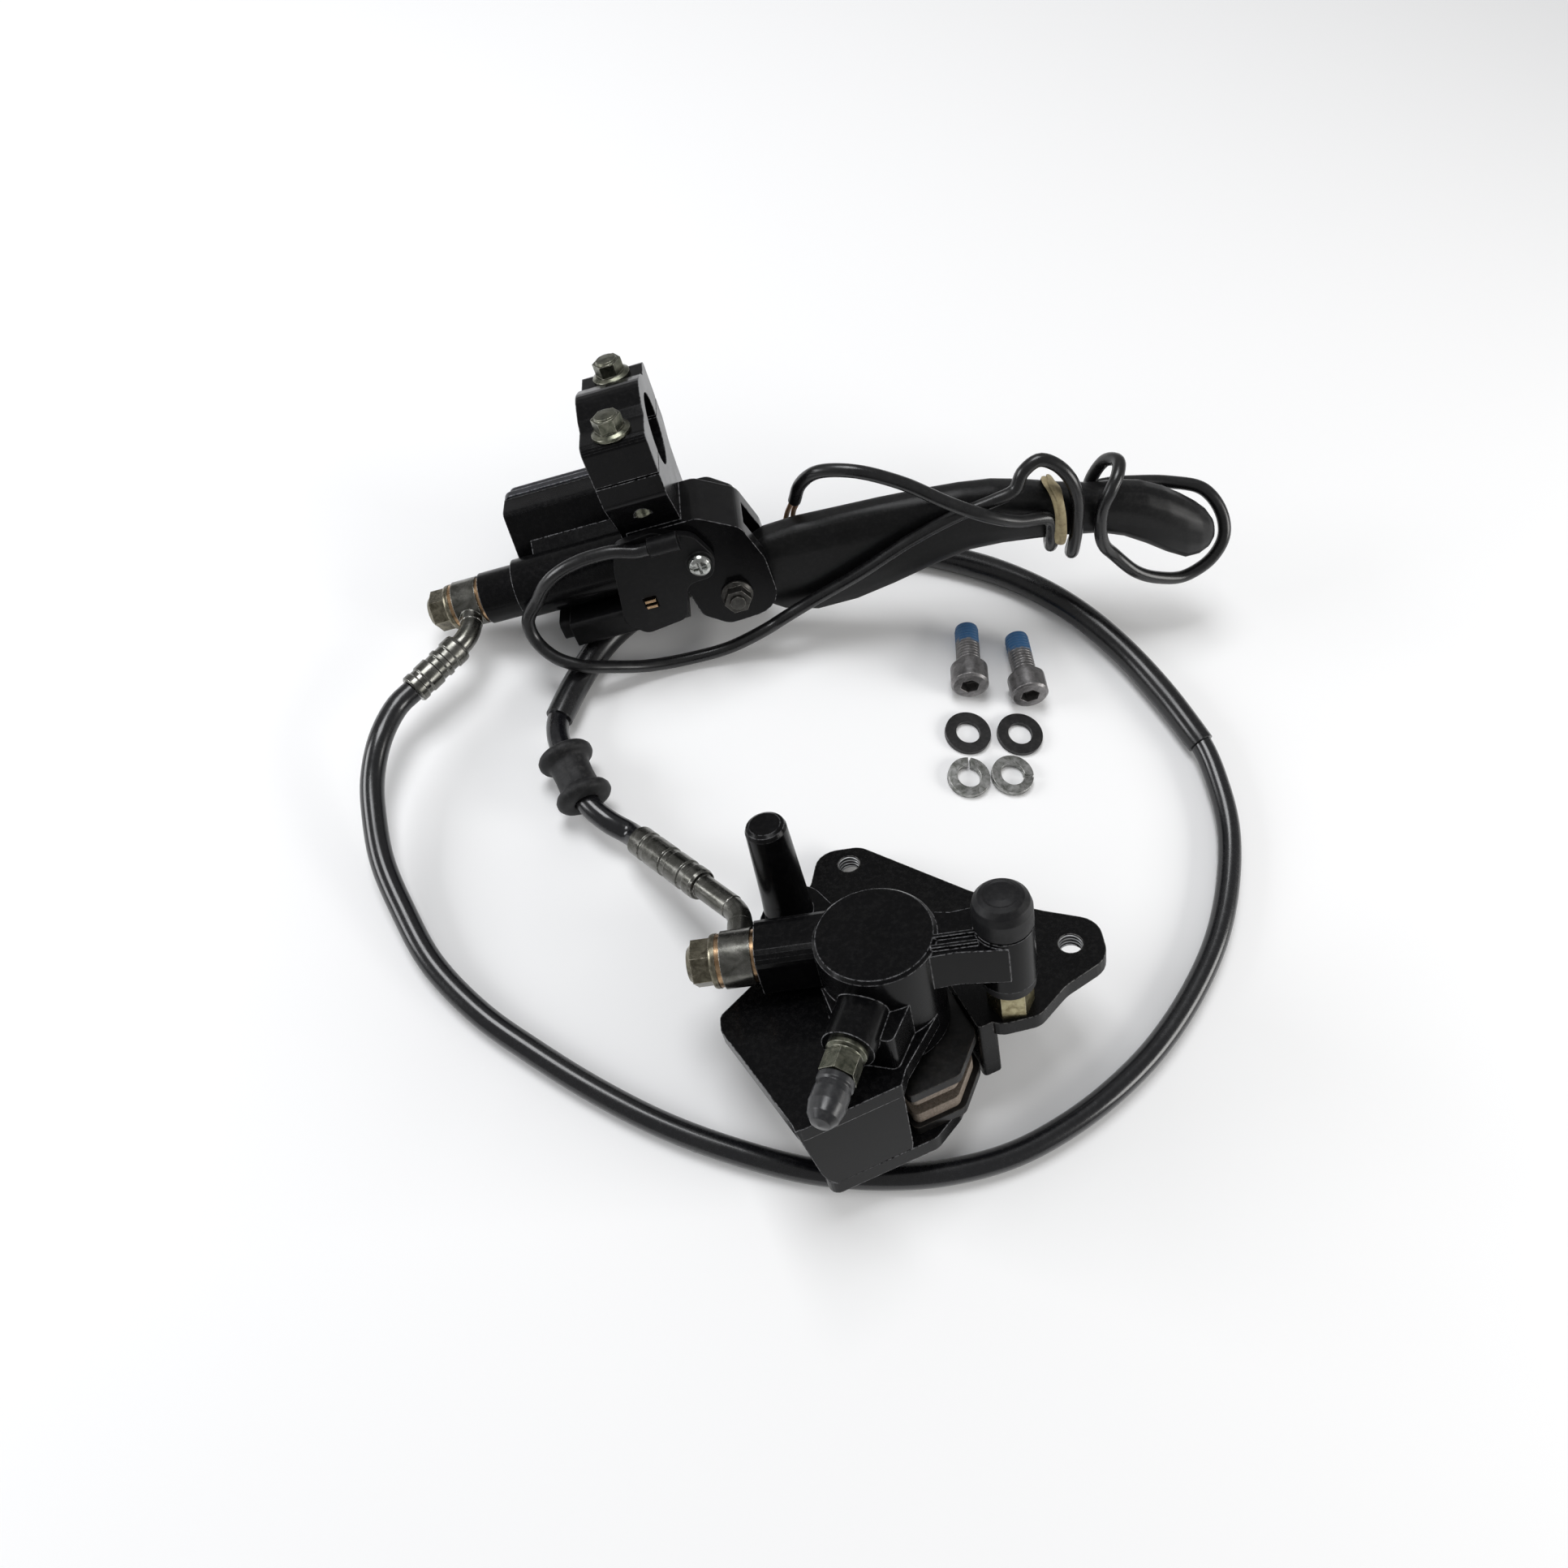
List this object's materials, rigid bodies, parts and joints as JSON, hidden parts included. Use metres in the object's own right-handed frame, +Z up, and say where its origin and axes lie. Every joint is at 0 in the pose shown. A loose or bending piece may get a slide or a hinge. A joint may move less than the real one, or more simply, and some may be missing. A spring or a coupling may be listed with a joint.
{
  "type": "front brake assembly",
  "caption": "Front hydraulic disc brake set: handlebar master cylinder with lever, hose with banjo fittings, sliding caliper on its bracket, and loose fixings.",
  "frame": {"origin": "middle of the footprint of the set without its hose and switch lead, on the table that it lies on", "axes": "+Z up from the table; +X to the right along the table as seen from the front, the way the lever points; +Y away to the back, from the caliper towards the master cylinder"},
  "size_m": [0.2844, 0.2471, 0.0908],
  "materials": {
    "cast_black": "gloss",
    "lid_blue": "satin",
    "zinc": "satin",
    "bright_zinc": "satin",
    "chrome": "polished",
    "copper": "satin",
    "rubber": "matte",
    "hose": "satin",
    "grey_rubber": "satin",
    "plastic": "matte",
    "alu": "satin",
    "band": "matte",
    "lining": "matte",
    "pad_steel": "satin",
    "dark_steel": "satin",
    "washer_black": "satin",
    "core": "matte"
  },
  "bodies": {
    "root": {"master_cylinder_body": "cast_black", "reservoir_lid": "lid_blue", "reservoir_diaphragm": "rubber", "lid_screws": "zinc", "clamp_cap": "cast_black", "clamp_bolts": "zinc", "lever_pivot_bolt": "dark_steel", "lever_pivot_nut": "zinc", "piston_circlip": "dark_steel", "piston_dust_boot": "rubber", "brake_switch": "plastic", "switch_terminals": "copper", "switch_screw": "chrome", "switch_lead": "plastic", "upper_banjo_bolt": "dark_steel", "upper_copper_washers": "copper", "upper_hose_fitting": "bright_zinc", "brake_hose": "hose", "hose_sleeve": "hose", "hose_grommet": "rubber", "caliper_bracket": "cast_black", "long_slide_pin": "zinc", "short_slide_pin": "zinc", "mounting_bolts": "dark_steel", "flat_washers": "washer_black", "spring_washers": "bright_zinc"},
    "lever": {"brake_lever": "cast_black", "lever_lead": "plastic", "lead_wrap": "plastic", "lead_tail": "plastic", "lead_cores": "core", "tie_band": "band"},
    "master_piston": {"master_piston": "alu", "piston_cups": "rubber", "return_spring": "dark_steel"},
    "switch_plunger": {"switch_plunger": "bright_zinc"},
    "caliper": {"caliper_body": "cast_black", "slide_pin_boots": "rubber", "slide_pin_cap": "rubber", "piston_seal": "rubber", "piston_wiper": "rubber", "bleeder_screw": "zinc", "bleeder_cap": "grey_rubber", "lower_hose_fitting": "bright_zinc", "lower_banjo_bolt": "zinc", "lower_copper_washers": "copper"},
    "caliper_piston": {"caliper_piston": "chrome"},
    "inner_pad": {"inner_pad_plate": "pad_steel", "inner_pad_lining": "lining"},
    "outer_pad": {"outer_pad_plate": "pad_steel", "outer_pad_lining": "lining"}
  },
  "joints": [
    {"name": "lever_squeeze", "type": "hinge", "parent": "root", "child": "lever", "pos_m": [-0.03088, 0.0709, 0.02407], "axis": [0.2297, -0.9296, 0.2883], "range_deg": [0, 18]},
    {"name": "master_piston_slide", "type": "slide", "parent": "root", "child": "master_piston", "axis": [-0.9066, -0.3122, -0.284], "range_m": [0, 0.0056], "stiffness_N_per_m": 400, "deforming": ["return_spring"]},
    {"name": "switch_plunger_slide", "type": "slide", "parent": "root", "child": "switch_plunger", "axis": [-0.9066, -0.3122, -0.284], "range_m": [0, 0.0023]},
    {"name": "caliper_float", "type": "slide", "parent": "root", "child": "caliper", "axis": [-0.3223, 0.2974, 0.8987], "range_m": [0, 0.0022]},
    {"name": "caliper_piston_slide", "type": "slide", "parent": "caliper", "child": "caliper_piston", "axis": [0.3223, -0.2974, -0.8987], "range_m": [0, 0.002]},
    {"name": "inner_pad_slide", "type": "slide", "parent": "root", "child": "inner_pad", "axis": [0.3223, -0.2974, -0.8987], "range_m": [0, 0.002]},
    {"name": "outer_pad_slide", "type": "slide", "parent": "root", "child": "outer_pad", "axis": [-0.3223, 0.2974, 0.8987], "range_m": [0, 0.0022]}
  ],
  "couplings": [
    {"joint": "master_piston_slide", "follows": "lever_squeeze", "m_per_rad": 0.0173},
    {"joint": "switch_plunger_slide", "follows": "lever_squeeze", "m_per_rad": 0.007},
    {"joint": "inner_pad_slide", "follows": "caliper_piston_slide", "ratio": 1},
    {"joint": "outer_pad_slide", "follows": "caliper_float", "ratio": 1}
  ]
}
